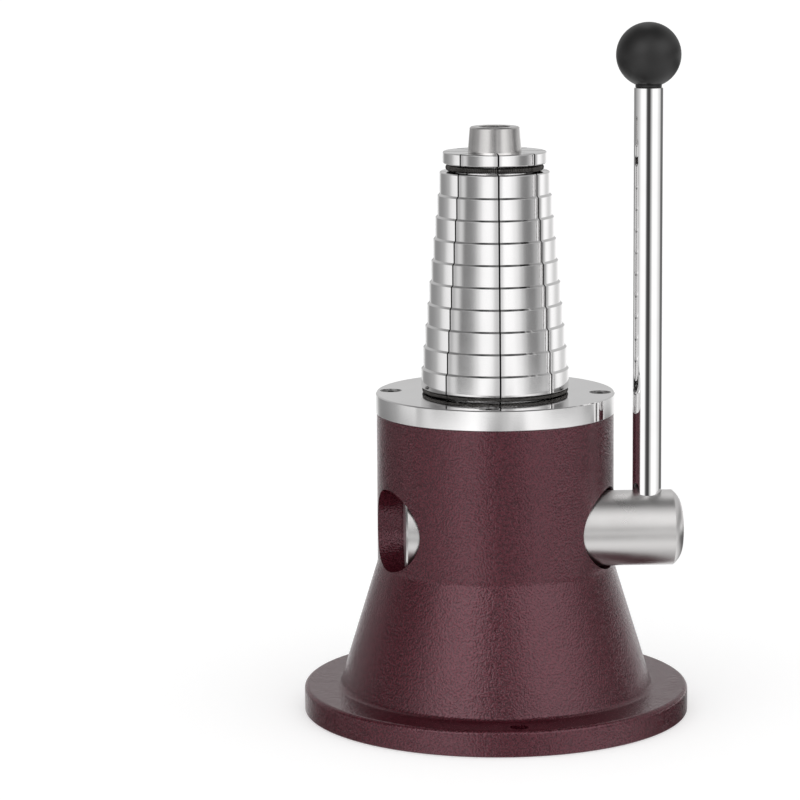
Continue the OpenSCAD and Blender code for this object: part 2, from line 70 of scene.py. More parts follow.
CAST_HI = span("base_casting")[1]
PLATE_LO, PLATE_HI = span("top_plate")
BLOCK_LO, BLOCK_HI = span("guide_block")
SHAFT_LO, SHAFT_HI = span("pinion_shaft")
ROD_LO, ROD_HI = span("lever_rod")
KNOB_LO, KNOB_HI = span("lever_knob")
INSERT_LO, INSERT_HI = span("knob_insert")
WEDGE_LO, WEDGE_HI = span("wedge_cone")
BOLT_LO, BOLT_HI = span("wedge_bolt")
UPPER_LO, UPPER_HI = span("upper_garter_spring")
LOWER_LO, LOWER_HI = span("lower_garter_spring")

FLANGE_R = CAST_HI[0]
CAST_TOP = CAST_HI[2]
PLATE_R = PLATE_HI[0]
PLATE_TOP = PLATE_HI[2]
BLOCK_R = BLOCK_HI[1]
SHAFT_Y = (SHAFT_HI[1] + SHAFT_LO[1]) / 2
SHAFT_Z = (SHAFT_HI[2] + SHAFT_LO[2]) / 2
ROD_X = (ROD_HI[0] + ROD_LO[0]) / 2
ROD_R = (ROD_HI[0] - ROD_LO[0]) / 2
KNOB_R = (KNOB_HI[0] - KNOB_LO[0]) / 2
KNOB_Z = KNOB_HI[2] - KNOB_R
INSERT_R = (INSERT_HI[0] - INSERT_LO[0]) / 2
CAP_TOP = span("jaw_1")[1][2]
WEDGE_TOP = WEDGE_HI[2]
UPPER_COIL = UPPER_HI[2] - UPPER_LO[2]
LOWER_COIL = LOWER_HI[2] - LOWER_LO[2]

# sizes that no box of a node gives: the base casting
FLANGE_H = 12.2 * MM
FLANGE_ROUND = 2.0 * MM
BENCH_ROUND = 0.6 * MM
FOOT_R = 74.8 * MM
FOOT_FILLET = 2.5 * MM
BARREL_R = 56.4 * MM
BARREL_BEND = 9.0 * MM
BARREL_ROUND = 0.5 * MM
CONE_TOP = 71.9 * MM
CONE_WALL = 9.5 * MM
LEDGE_H = 6.0 * MM
LEDGE_W = 7.0 * MM
CROSS_R = 19.5 * MM
BENCH_HOLES = 2
BENCH_HOLE_R = 4.25 * MM
BENCH_HOLE_PLACE = FLANGE_R - 7.0 * MM
BENCH_HOLE_TURN = math.radians(3)
SEAT_FIT = 0.2 * MM

# the top plate and its screws
PLATE_HOLE_R = 25.0 * MM
PLATE_BEVEL = 0.5 * MM
SCREW_PLACE = (BLOCK_R + BARREL_R) / 2
SCREW_TURN = math.radians(-7.5)
SCREWS = 4
SCREW_R = 2.5 * MM
SCREW_HEAD_R = 5.0 * MM
SCREW_SINK = 0.4 * MM
SCREW_SOCKET_W = 3.0 * MM
SHANK_EASE = 0.01 * MM

# the jaws and their T-shaped feet
STEPS = 10
STEP_TOP_R = 26.0 * MM
STEP_GROW = 1.0 * MM
STEP_H = 10.3 * MM
STEP_EDGE = 0.9 * MM
LOWEST_STEP_H = 10.1 * MM
LOWEST_STEP_R = STEP_TOP_R + (STEPS - 1) * STEP_GROW
JAW_BEVEL = 0.4 * MM
SLIT = 0.8 * MM
CAP_R = 24.5 * MM
GROOVE_H = 3.8 * MM
UPPER_INSET = 1.05 * MM
LOWER_INSET = 0.3 * MM
REBATE_H = 2.3 * MM
FOOT_LEN = 4.0 * MM
FOOT_NECK_W = 6.0 * MM
FOOT_HEAD_W = 10.0 * MM
FOOT_HEAD_H = 3.2 * MM
FOOT_OVERLAP = 0.5 * MM
JAW_STROKE = 1.77 * MM
LIP_H = 3.5 * MM
SLIDE_FIT = 0.1 * MM
SLOT_START_R = PLATE_HOLE_R - 3.0 * MM
SLOT_SPARE = 0.5 * MM

# the garter springs
SPRING_SEAT = 0.15 * MM
UPPER_DRAWN_COIL = UPPER_COIL - 0.4 * MM
UPPER_WIRE = 0.64 * MM
UPPER_CURLS = 20
LOWER_WIRE = 0.5 * MM
LOWER_CURLS = 40

# the wedge and its bolt
WEDGE_CAP_R = 12.7 * MM
WEDGE_RATIO = 12.0
WEDGE_FIT = 0.05 * MM
WEDGE_BEVEL = 0.6 * MM
SPIGOT_R = 10.0 * MM
SPIGOT_H = 8.0 * MM
SPIGOT_FIT = 0.1 * MM
SPIGOT_SPARE = 0.5 * MM
BOLT_R = 4.0 * MM
BOLT_HEAD_R = 6.5 * MM
BOLT_HEAD_H = 8.0 * MM
BOLT_SINK_R = 7.5 * MM
BOLT_SINK = 10.0 * MM
BOLT_SINK_BEVEL = 0.3 * MM
BOLT_SOCKET_W = 6.0 * MM
BOLT_SOCKET_TURN = math.radians(7)

# the lever rod and its knob
ROD_BEVEL = 0.5 * MM
STUD_R = 4.0 * MM
COLLAR_R = ROD_R - 0.7 * MM

JAW_Z = PLATE_TOP + SLIDE_FIT
STEP_Z = JAW_Z + REBATE_H
GROOVE_Z = STEP_Z + LOWEST_STEP_H + (STEPS - 1) * STEP_H
CAP_Z = GROOVE_Z + GROOVE_H


# ---- mesh building ----

def rounded(corners, arc=6):
    """Outline through corners (r, z) or (r, z, radius), as an (n, 2) array.

    A corner with a radius becomes an arc of arc + 1 points, tangent to both
    sides: it starts radius / tan(half the corner's angle) before the corner,
    but takes no more than a share of the shorter side. A point just outside
    each end of the arc keeps the long faces' shading true.
    """
    share, outside = 0.45, 1.12
    points = []
    for i, corner in enumerate(corners):
        p = np.array(corner[:2])
        if len(corner) < 3:
            points.append([p])
            continue
        a = np.array(corners[i - 1][:2]) - p
        b = np.array(corners[(i + 1) % len(corners)][:2]) - p
        room = min(np.linalg.norm(a), np.linalg.norm(b))
        a, b = a / np.linalg.norm(a), b / np.linalg.norm(b)
        half = math.acos(float(np.clip(a @ b, -1, 1))) / 2
        reach = min(corner[2] / math.tan(half), room * share)
        middle = p + (a + b) / np.linalg.norm(a + b) * (reach * math.tan(half) / math.sin(half))
        turn = math.pi - 2 * half
        t = np.linspace(0, turn, arc + 1)[:, None]
        u, v = p + a * reach - middle, p + b * reach - middle
        bend = middle + (u * np.sin(turn - t) + v * np.sin(t)) / math.sin(turn)
        points.append(np.vstack([p + a * reach * outside, bend, p + b * reach * outside]))
    return np.vstack(points)


def grid_faces(rows, cols, loop_rows=True):
    """Quads between the neighbours of a rows x cols grid of points, each row a
    closed loop, and the last row joined to the first if loop_rows."""
    r, c = np.indices((rows if loop_rows else rows - 1, cols)).reshape(2, -1)
    below, beside = (r + 1) % rows, (c + 1) % cols
    return np.stack([r * cols + c, below * cols + c, below * cols + beside, r * cols + beside], -1)


def shade(obj, smooth_under=30):
    """Smooth faces, with edges that turn more than smooth_under left sharp."""
    obj.data.shade_smooth()
    obj.data.set_sharp_from_angle(angle=math.radians(smooth_under))


def surface(name, points, faces, ends=(), smooth_under=30):
    """Mesh object from an array of points, an array of quads and end faces."""
    mesh = bpy.data.meshes.new(name)
    corners = np.reshape(points, (-1, 3)).tolist()
    mesh.from_pydata(corners, [], faces.tolist() + [list(end) for end in ends])
    obj = bpy.data.objects.new(name, mesh)
    bpy.context.collection.objects.link(obj)
    shade(obj, smooth_under)
    return obj


def weld(obj):
    """Joins points that lie together, which closes a turned outline at its
    axis, points every face outwards and shades the faces again."""
    bm = bmesh.new()
    bm.from_mesh(obj.data)
    bmesh.ops.remove_doubles(bm, verts=bm.verts, dist=TOUCHING)
    bmesh.ops.recalc_face_normals(bm, faces=bm.faces)
    bm.to_mesh(obj.data)
    bm.free()
    shade(obj)


def turned(name, corners, segments=192, place=(0, 0, 0), along_x=False, arc=6):
    """Solid of revolution of the rounded outline (r, z): its point at angle a is
    (r cos a, r sin a, z), or (z, r cos a, r sin a) if it lies along X."""
    r, z = rounded(corners, arc).T
    a = np.arange(segments)[:, None] * (2 * math.pi / segments)
    points = np.stack(np.broadcast_arrays(r * np.cos(a), r * np.sin(a), z), -1)
    if along_x:
        points = points[..., [2, 0, 1]]
    faces = grid_faces(segments, len(r))
    on_axis = (r[faces % len(r)] < ON_AXIS).all(axis=1)
    obj = surface(name, points + np.array(place), faces[~on_axis])
    weld(obj)
    return obj


def tee_bar(far, near, neck, head, low, shoulder, high, turn=0.0):
    """Bar along Y from far to near with an upturned T for its section: half
    widths head from low to shoulder and neck from there to high. Turned round Z."""
    x = np.array([-head, head, head, neck, neck, -neck, -neck, -head])
    z = np.array([low, low, shoulder, shoulder, high, high, shoulder, shoulder])
    y = np.array([[far], [near]])
    points = np.stack(np.broadcast_arrays(x, y, z), -1)
    obj = surface("tee_bar", points, grid_faces(2, 8, loop_rows=False), [range(8), range(15, 7, -1)])
    obj.data.transform(Matrix.Rotation(turn, 4, "Z"))
    weld(obj)
    return obj


def pin(radius, bottom, top, place=(0, 0, 0), segments=64, along_x=False):
    """Plain cylinder, for cutting a hole."""
    return turned("pin", [(0, bottom), (radius, bottom), (radius, top), (0, top)], segments, place, along_x)


def hexagon(width, bottom, top, place=(0, 0, 0)):
    """Six-sided bar, width across its flats, for cutting a screw's socket."""
    return pin(width / 2 / math.cos(math.pi / 6), bottom, top, place, 6)


def carve(obj, tools, operation="DIFFERENCE"):
    """Cuts the tools out of the object, or adds them to it, and removes them."""
    for tool in tools:
        step = obj.modifiers.new(tool.name, "BOOLEAN")
        step.operation = operation
        step.solver = "EXACT"
        step.object = tool
    mesh = bpy.data.meshes.new_from_object(obj.evaluated_get(bpy.context.evaluated_depsgraph_get()))
    obj.modifiers.clear()
    obj.data = mesh
    shade(obj)
    for tool in tools:
        bpy.data.objects.remove(tool)


def polar(turn, distance):
    """Point at an angle from straight ahead (-Y), counted towards +X."""
    return distance * math.sin(turn), -distance * math.cos(turn), 0


# ---- materials ----

def srgb(text):
    """Linear colour, with alpha, from an sRGB hex string."""
    parts = [int(text[i:i + 2], 16) / 255 for i in (1, 3, 5)]
    return [c / 12.92 if c <= 0.04045 else ((c + 0.055) / 1.055) ** 2.4 for c in parts] + [1.0]


def add(tree, kind, settings=None, **inputs):
    """Adds a node. Settings are its attributes. Inputs go to sockets by name or,
    as _n, by number, and are values, sockets, or nodes for their first output."""
    node = tree.nodes.new(kind)
    for key, value in (settings or {}).items():
        setattr(node, key, value)
    for key, value in inputs.items():
        socket = node.inputs[int(key[1:]) if key[0] == "_" else key.replace("_", " ")]
        if isinstance(value, bpy.types.Node):
            value = value.outputs[0]
        if isinstance(value, bpy.types.NodeSocket):
            tree.links.new(value, socket)
        else:
            socket.default_value = value
    return node


def new_material(name):
    """An empty material, its node tree and the Object coordinates in it."""
    mat = bpy.data.materials.new(name)
    mat.use_nodes = True
    mat.node_tree.nodes.clear()
    return mat, mat.node_tree, add(mat.node_tree, "ShaderNodeTexCoord").outputs["Object"]


def hammertone_enamel():
    """Hammertone stove enamel, sprayed on the casting and baked: it gives the
    eye deep burgundy with a pebbled gloss, mauve where its metal flake catches
    the light, and its colour is painted nearly black between the pebbles as
    painted shade in the pits. The pebbles are 0.9 mm, the film's waves 9 mm,
    and the sprayer's clouds 45 mm wide."""
    mat, tree, where = new_material("hammertone_enamel")
    pebbles = add(tree, "ShaderNodeTexNoise", Vector=where, Scale=1 / (0.9 * MM), Detail=1.0)
    waves = add(tree, "ShaderNodeTexNoise", Vector=where, Scale=1 / (9.0 * MM), Detail=2.0)
    clouds = add(tree, "ShaderNodeTexNoise", Vector=where, Scale=1 / (45.0 * MM), Detail=3.0)
    # the colour is painted darker in the gaps between the pebbles: painted shade in the pits
    pit_shade = add(tree, "ShaderNodeMapRange", Value=pebbles, From_Min=0.38, From_Max=0.6)
    dark = add(tree, "ShaderNodeMix", {"data_type": "RGBA"},
               _0=clouds, _6=srgb("#24070c"), _7=srgb("#2c0b12"))
    light = add(tree, "ShaderNodeMix", {"data_type": "RGBA"},
                _0=clouds, _6=srgb("#3f121b"), _7=srgb("#481a23"))
    colour = add(tree, "ShaderNodeMix", {"data_type": "RGBA"},
                 _0=pit_shade, _6=dark.outputs[2], _7=light.outputs[2])
    gloss = add(tree, "ShaderNodeMapRange",
                Value=waves, From_Min=0.3, From_Max=0.7, To_Min=0.11, To_Max=0.16)
    height = add(tree, "ShaderNodeMath", {"operation": "MULTIPLY_ADD"}, _0=waves, _1=0.8, _2=pebbles)
    relief = add(tree, "ShaderNodeBump", Height=height, Distance=0.24 * MM, Strength=1.0)
    # the flake under the film mirrors more than the film alone, and pinker
    skin = add(tree, "ShaderNodeBsdfPrincipled", Base_Color=colour.outputs[2], Roughness=gloss, IOR=1.75,
               Specular_Tint=srgb("#ffc8d4"), Normal=relief)
    add(tree, "ShaderNodeOutputMaterial", Surface=skin)
    return mat


def bare_steel(name, dark, light, rough, mark_w, across, depth):
    """Bare steel with tool marks and faint clouds from handling.

    The marks are mark_w wide along one axis and long in the others, so they
    run round a turned piece. Real ones are a tenth of that, too fine to show,
    and are drawn this coarse.
    """
    mark_length = 300 * MM
    mat, tree, where = new_material(name)
    stretch = [1 / mark_length] * 3
    stretch["XYZ".index(across)] = 1 / mark_w
    marks = add(tree, "ShaderNodeTexNoise", Scale=1.0, Detail=2.0,
                Vector=add(tree, "ShaderNodeMapping", Vector=where, Scale=stretch))
    clouds = add(tree, "ShaderNodeTexNoise",
                 Vector=where, Scale=1 / (22.0 * MM), Detail=4.0, Roughness=0.6)
    worn = add(tree, "ShaderNodeMapRange", Value=clouds, From_Min=0.3, From_Max=0.7)
    colour = add(tree, "ShaderNodeMix", {"data_type": "RGBA"},
                 _0=worn, _6=srgb(dark), _7=srgb(light))
    gloss = add(tree, "ShaderNodeMapRange", Value=worn, To_Min=0.85 * rough, To_Max=1.2 * rough)
    relief = add(tree, "ShaderNodeBump", Height=marks, Distance=depth, Strength=1.0)
    metal = add(tree, "ShaderNodeBsdfPrincipled",
                Base_Color=colour.outputs[2], Roughness=gloss, Metallic=1.0, Normal=relief)
    add(tree, "ShaderNodeOutputMaterial", Surface=metal)
    return mat


def dark_steel(name, dark, light, rough):
    """Steel under a thin dark skin, worn lighter in specks about 4 mm wide."""
    mat, tree, where = new_material(name)
    specks = add(tree, "ShaderNodeTexNoise", Vector=where, Scale=1 / (4.0 * MM), Detail=3.0)
    worn = add(tree, "ShaderNodeMapRange", Value=specks, From_Min=0.3, From_Max=0.7)
    colour = add(tree, "ShaderNodeMix", {"data_type": "RGBA"},
                 _0=worn, _6=srgb(dark), _7=srgb(light))
    gloss = add(tree, "ShaderNodeMapRange", Value=worn, To_Min=0.8 * rough, To_Max=1.25 * rough)
    relief = add(tree, "ShaderNodeBump", Height=specks, Distance=0.01 * MM, Strength=1.0)
    metal = add(tree, "ShaderNodeBsdfPrincipled",
                Base_Color=colour.outputs[2], Roughness=gloss, Metallic=0.85, Normal=relief)
    add(tree, "ShaderNodeOutputMaterial", Surface=metal)
    return mat


def phenolic():
    """Black phenolic resin, pressed in a polished mould: it gives the eye a
    deep even black with a soft broad sheen, a little greyer where hands wear
    it. The mould's grain, about 0.1 mm, is drawn 0.6 mm wide so that it shows."""
    mat, tree, where = new_material("moulded_phenolic")
    grain = add(tree, "ShaderNodeTexNoise", Vector=where, Scale=1 / (0.6 * MM), Detail=2.0)
    clouds = add(tree, "ShaderNodeTexNoise", Vector=where, Scale=1 / (17.0 * MM), Detail=3.0)
    worn = add(tree, "ShaderNodeMapRange", Value=clouds, From_Min=0.3, From_Max=0.7)
    colour = add(tree, "ShaderNodeMix", {"data_type": "RGBA"},
                 _0=worn, _6=srgb("#141313"), _7=srgb("#1a1919"))
    gloss = add(tree, "ShaderNodeMapRange", Value=worn, To_Min=0.38, To_Max=0.46)
    relief = add(tree, "ShaderNodeBump", Height=grain, Distance=0.006 * MM, Strength=1.0)
    resin = add(tree, "ShaderNodeBsdfPrincipled",
                Base_Color=colour.outputs[2], Roughness=gloss, Normal=relief)
    add(tree, "ShaderNodeOutputMaterial", Surface=resin)
    return mat


ENAMEL = hammertone_enamel()
# turned and buffed tool steel: long clear bands of light and shade
POLISHED = bare_steel("buffed_tool_steel", "#e9e8e8", "#efeeee", 0.075, 0.25 * MM, "Z", 0.0006 * MM)
# ground, chromed and lapped bar: the whole room drawn in it, sharp
MIRROR = bare_steel("chromed_bar", "#e9e8e8", "#efefef", 0.0, 0.3 * MM, "Z", 0.0)
# turned bar as it left the lathe: bright, with a broad soft glow
TURNED = bare_steel("turned_steel", "#e4e2e1", "#ebe9e8", 0.30, 0.2 * MM, "X", 0.003 * MM)
# ground taper: an even silk between light and dark
GROUND = bare_steel("ground_steel", "#d0cecd", "#d8d6d5", 0.2, 0.2 * MM, "Z", 0.0006 * MM)
# sawn walls of the slits, oily and dull, their colour painted nearly black as the shade inside the narrow
# slits: dark lines between the jaws
SAWN_PAINTED_SHADE = bare_steel("sawn_steel_painted_shade", "#3c3a38", "#4c4947", 0.5, 0.3 * MM, "Z", 0.01 * MM)
# screws blackened in a hot oxide bath: soft black with browner rubbed spots
OXIDE = dark_steel("black_oxide_steel", "#1f1e1e", "#3b3938", 0.35)
# drawn spring wire left in oil: black with small wet glints
OILED = dark_steel("oiled_spring_wire", "#454341", "#605e5c", 0.16)
PHENOLIC = phenolic()
# brass turned from bar: warm yellow, a little dull
BRASS = bare_steel("turned_brass", "#a98443", "#c09a55", 0.3, 0.2 * MM, "Z", 0.002 * MM)


def dress(obj, coats, slot, body, *nodes):
    """Gives a piece its materials and body, and lets it stand for nodes. The slot is not used."""
    if not obj.data.materials:
        for coat in coats:
            obj.data.materials.append(coat)
    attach(obj, body)
    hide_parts(*nodes)


# ---- base ----

def base_casting():
    """Hollow casting turned from one section: flange, cone, barrel and the seat
    inside it, then the cross bore and the bench holes cut through."""
    lean = (FOOT_R - BARREL_R) / (CONE_TOP - FLANGE_H)
    ledge_z = BLOCK_LO[2] - LEDGE_H
    cavity_r = FOOT_R + lean * FLANGE_H - CONE_WALL
    seat_r = BLOCK_R + SEAT_FIT
    obj = turned("base_casting_skin", [
        (cavity_r, 0, BENCH_ROUND), (FLANGE_R, 0, BENCH_ROUND), (FLANGE_R, FLANGE_H, FLANGE_ROUND),
        (FOOT_R, FLANGE_H, FOOT_FILLET), (BARREL_R, CONE_TOP, BARREL_BEND),
        (BARREL_R, CAST_TOP, BARREL_ROUND), (seat_r, CAST_TOP), (seat_r, BLOCK_LO[2]),
        (BLOCK_R - LEDGE_W, BLOCK_LO[2]), (BLOCK_R - LEDGE_W, ledge_z),
        (cavity_r - lean * ledge_z, ledge_z)], segments=256, arc=10)
    holes = [pin(CROSS_R, -2 * BARREL_R, 2 * BARREL_R, (0, SHAFT_Y, SHAFT_Z), 128, along_x=True)]
    for i in range(BENCH_HOLES):
        place = polar(BENCH_HOLE_TURN + i * 2 * math.pi / BENCH_HOLES, BENCH_HOLE_PLACE)
        holes.append(pin(BENCH_HOLE_R, -CUT_PAST, FLANGE_H + CUT_PAST, place))
    carve(obj, holes)
    dress(obj, [ENAMEL], "hammertone_casting", "base", "base_casting")


def screw_place(i):
    """Middle of the plate's screw number i."""
    return polar(SCREW_TURN + i * 2 * math.pi / SCREWS, SCREW_PLACE)


def top_plate():
    """Turned disc with bevelled rims, countersunk for its screws, and with a
    T-shaped slot from the centre hole outwards for each jaw's foot."""
    hard = 0.15 * MM
    low, high = PLATE_LO[2], PLATE_TOP
    obj = turned("top_plate_skin", [
        (PLATE_HOLE_R, low), (PLATE_R - PLATE_BEVEL, low, hard), (PLATE_R, low + PLATE_BEVEL, hard),
        (PLATE_R, high - PLATE_BEVEL, hard), (PLATE_R - PLATE_BEVEL, high, hard),
        (PLATE_HOLE_R, high)], segments=256)
    shank_r, head_r = SCREW_R + SEAT_FIT, SCREW_HEAD_R + SEAT_FIT
    seat = high - SCREW_SINK - (SCREW_HEAD_R - SCREW_R) - SEAT_FIT
    tools = [turned("sink", [
        (0, low - CUT_PAST), (shank_r, low - CUT_PAST), (shank_r, seat), (head_r, high - SCREW_SINK),
        (head_r, high + CUT_PAST), (0, high + CUT_PAST)], 64, screw_place(i)) for i in range(SCREWS)]
    shoulder = high - LIP_H
    slot_floor = shoulder - 2 * SLIDE_FIT - FOOT_HEAD_H
    far = -(PLATE_HOLE_R + SLIDE_FIT + FOOT_LEN + JAW_STROKE + SLOT_SPARE)
    neck, head = FOOT_NECK_W / 2 + SEAT_FIT, FOOT_HEAD_W / 2 + SEAT_FIT
    tools += [tee_bar(far, -SLOT_START_R, neck, head, slot_floor, shoulder, high + CUT_PAST,
                      (i + 0.5) * SECTOR) for i in range(JAWS)]
    carve(obj, tools)
    dress(obj, [POLISHED], "polished_steel", "base", "top_plate")


def plate_screws():
    """Countersunk screws with hexagonal sockets, joined into one piece."""
    rim_h, rim_round = 0.3 * MM, 0.1 * MM
    top = PLATE_TOP - SCREW_SINK
    cone_h = SCREW_HEAD_R - SCREW_R
    low = span("plate_screws")[0][2]
    shank_r = SCREW_R - SHANK_EASE
    screws, sockets = [], []
    for i in range(SCREWS):
        screws.append(turned("plate_screws_skin", [
            (0, low), (shank_r, low), (shank_r, top - cone_h), (SCREW_HEAD_R, top - rim_h, rim_round),
            (SCREW_HEAD_R - rim_round, top, rim_round), (0, top)], 64, screw_place(i)))
        sockets.append(hexagon(SCREW_SOCKET_W, top - cone_h, top + CUT_PAST, screw_place(i)))
    carve(screws[0], screws[1:], "UNION")
    carve(screws[0], sockets)
    dress(screws[0], [OXIDE], "blackened_steel", "base", "plate_screws")


# ---- jaws ----

def jaw_section():
    """Section of the mandrel, up the steps, round the cap and down the bore."""
    hard, fine = 0.18 * MM, 0.1 * MM
    edge = JAW_BEVEL
    rebate_r = LOWEST_STEP_R - LOWER_INSET - LOWER_COIL - SPRING_SEAT
    groove_r = CAP_R - UPPER_INSET - UPPER_COIL - SPRING_SEAT
    corners = [(rebate_r, JAW_Z), (rebate_r, STEP_Z),
               (LOWEST_STEP_R - edge, STEP_Z, hard), (LOWEST_STEP_R, STEP_Z + edge, hard)]
    for k in range(STEPS - 1, 0, -1):
        top = GROOVE_Z - k * STEP_H
        r = STEP_TOP_R + k * STEP_GROW
        corners += [(r, top - STEP_EDGE, fine), (r - STEP_EDGE, top, fine), (r - STEP_GROW, top)]
    bore_top_r = WEDGE_CAP_R + WEDGE_FIT
    corners += [
        (STEP_TOP_R, GROOVE_Z - edge, hard), (STEP_TOP_R - edge, GROOVE_Z, hard),
        (groove_r, GROOVE_Z), (groove_r, CAP_Z),
        (CAP_R - edge, CAP_Z, hard), (CAP_R, CAP_Z + edge, hard),
        (CAP_R, CAP_TOP - edge, hard), (CAP_R - edge, CAP_TOP, hard),
        (bore_top_r, CAP_TOP, hard), (bore_top_r + (CAP_TOP - JAW_Z) / WEDGE_RATIO, JAW_Z)]
    return rounded(corners, 4)


def jaw(number, section):
    """One jaw: the section carried round its sector. Its point at radius r and
    station s, from -1 to 1, stands at the angle s (sector / 2 - asin(slit / 2r)),
    so each end is flat, half a slit from the middle between two jaws. Its
    T-shaped foot is added below."""
    stations = 29
    r, z = section.T
    angle = np.linspace(-1, 1, stations)[:, None] * (SECTOR / 2 - np.arcsin(SLIT / 2 / r))
    points = np.stack(np.broadcast_arrays(r * np.sin(angle), -r * np.cos(angle), z), -1)
    last = stations * len(r) - 1
    walls = [range(len(r)), range(last, last - len(r), -1)]
    name = "jaw_%d" % number
    obj = surface(name + "_skin", points, grid_faces(stations, len(r), loop_rows=False), walls)
    # the two flat ends take the slit steel, whose colour is painted shade in the slits
    obj.data.materials.append(POLISHED)
    obj.data.materials.append(SAWN_PAINTED_SHADE)
    for wall in obj.data.polygons[-2:]:
        wall.material_index = 1
    weld(obj)
    near = -PLATE_HOLE_R - SLIDE_FIT
    shoulder = PLATE_TOP - LIP_H - SLIDE_FIT
    carve(obj, [tee_bar(near - FOOT_LEN, near, FOOT_NECK_W / 2, FOOT_HEAD_W / 2,
                        shoulder - FOOT_HEAD_H, shoulder, JAW_Z + FOOT_OVERLAP)], "UNION")
    obj.data.transform(Matrix.Rotation((number - 0.5) * SECTOR, 4, "Z"))
    dress(obj, [], "polished_steel", name, name)


# ---- springs ----

def spring_arc(name, number, ring_r, z, coil_d, wire_d, curls):
    """The part of a close-wound garter spring that lies on one jaw.

    The wire's centre winds round a ring: at ring angle a and coil angle c it
    lies at ring radius ring_r + coil_r cos c and height z + coil_r sin c. The
    wire's section is a hexagon across it. The arc runs on for most of a curl
    past each end, so that neighbours meet, or nearly, when the jaws are spread.
    """
    per_curl, sides, extra, tiny = 14, 6, 0.8, 0.001
    # neighbouring sides of the hexagon turn 60 degrees
    smooth_under = 61
    coil_r = (coil_d - wire_d) / 2
    turns = np.arange(int(per_curl * (curls + 2 * extra)) + 1) / per_curl - extra

    def ring(turns, reach):
        a = (turns / curls + number - 1) * SECTOR
        c = 2 * math.pi * turns
        r = ring_r + reach * np.cos(c)
        return np.stack([r * np.sin(a), -r * np.cos(a), z + reach * np.sin(c)], -1)

    centre = ring(turns, coil_r)
    along = ring(turns + tiny, coil_r) - ring(turns - tiny, coil_r)
    side = np.cross(along, centre - ring(turns, 0.0))
    side /= np.linalg.norm(side, axis=1)[:, None]
    out = np.cross(side, along)
    out /= np.linalg.norm(out, axis=1)[:, None]
    k = np.arange(sides)[None, :, None] * (2 * math.pi / sides)
    points = centre[:, None] + wire_d / 2 * (np.cos(k) * out[:, None] + np.sin(k) * side[:, None])
    last = len(turns) * sides - 1
    obj = surface("%s_%d" % (name, number), points, grid_faces(len(turns), sides, loop_rows=False),
                  [range(sides), range(last, last - sides, -1)])
    weld(obj)
    shade(obj, smooth_under)
    dress(obj, [OILED], "oiled_spring", "jaw_%d" % number, name)


# ---- wedge and bolt ----

def wedge_cone():
    """Hollow cone whose radius falls by 1 in WEDGE_RATIO of the height."""
    hard = 0.2 * MM
    low, bevel_z = WEDGE_LO[2], WEDGE_TOP - WEDGE_BEVEL
    low_r, bevel_r, top_r = (
        WEDGE_CAP_R + (CAP_TOP - z) / WEDGE_RATIO for z in (low, bevel_z, WEDGE_TOP))
    spigot_r, spigot_top = SPIGOT_R + SPIGOT_FIT, low + SPIGOT_H + SPIGOT_SPARE
    bolt_hole_r = BOLT_R + SEAT_FIT
    seat = WEDGE_TOP - BOLT_SINK
    obj = turned("wedge_cone_skin", [
        (spigot_r, low), (low_r, low), (bevel_r, bevel_z, hard), (top_r - WEDGE_BEVEL, WEDGE_TOP, hard),
        (BOLT_SINK_R + BOLT_SINK_BEVEL, WEDGE_TOP, hard), (BOLT_SINK_R, WEDGE_TOP - BOLT_SINK_BEVEL, hard),
        (BOLT_SINK_R, seat), (bolt_hole_r, seat), (bolt_hole_r, spigot_top), (spigot_r, spigot_top)])
    dress(obj, [GROUND], "ground_steel", "ram", "wedge_cone")


def wedge_bolt():
    """Long bolt with a round head and a hexagonal socket."""
    under_round, top_round = 0.2 * MM, 0.5 * MM
    low, high = BOLT_LO[2], BOLT_HI[2]
    seat = high - BOLT_HEAD_H
    shank_r = BOLT_R - SHANK_EASE
    obj = turned("wedge_bolt_skin", [
        (0, low), (shank_r, low), (shank_r, seat), (BOLT_HEAD_R, seat, under_round),
        (BOLT_HEAD_R, high, top_round), (0, high)], segments=96)
    socket = hexagon(BOLT_SOCKET_W, high - BOLT_HEAD_H / 2, high + CUT_PAST)
    socket.data.transform(Matrix.Rotation(BOLT_SOCKET_TURN, 4, "Z"))
    carve(obj, [socket])
    dress(obj, [OXIDE], "blackened_steel", "ram", "wedge_bolt")


# ---- shaft, lever and knob ----

def smooth_copy(node, coat, slot, body):
    """The CAD node's own shape, with its round faces shaded smoothly."""
    obj = bpy.data.objects.new(node + "_skin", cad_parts[node].data.copy())
    bpy.context.collection.objects.link(obj)
    if "custom_normal" in obj.data.attributes:
        obj.data.attributes.remove(obj.data.attributes["custom_normal"])
    weld(obj)
    obj.data.materials.clear()
    dress(obj, [coat], slot, body, node)


def lever_rod():
    """Straight bar with a small bevel under the knob and a stud above it."""
    hard = 0.1 * MM
    low, shoulder, high = ROD_LO[2], KNOB_LO[2], ROD_HI[2]
    obj = turned("lever_rod_skin", [
        (0, low), (ROD_R, low), (ROD_R, shoulder - ROD_BEVEL, hard), (ROD_R - ROD_BEVEL, shoulder, hard),
        (STUD_R, shoulder), (STUD_R, high), (0, high)], 128, (ROD_X, SHAFT_Y, 0))
    dress(obj, [MIRROR], "polished_steel", "lever", "lever_rod")


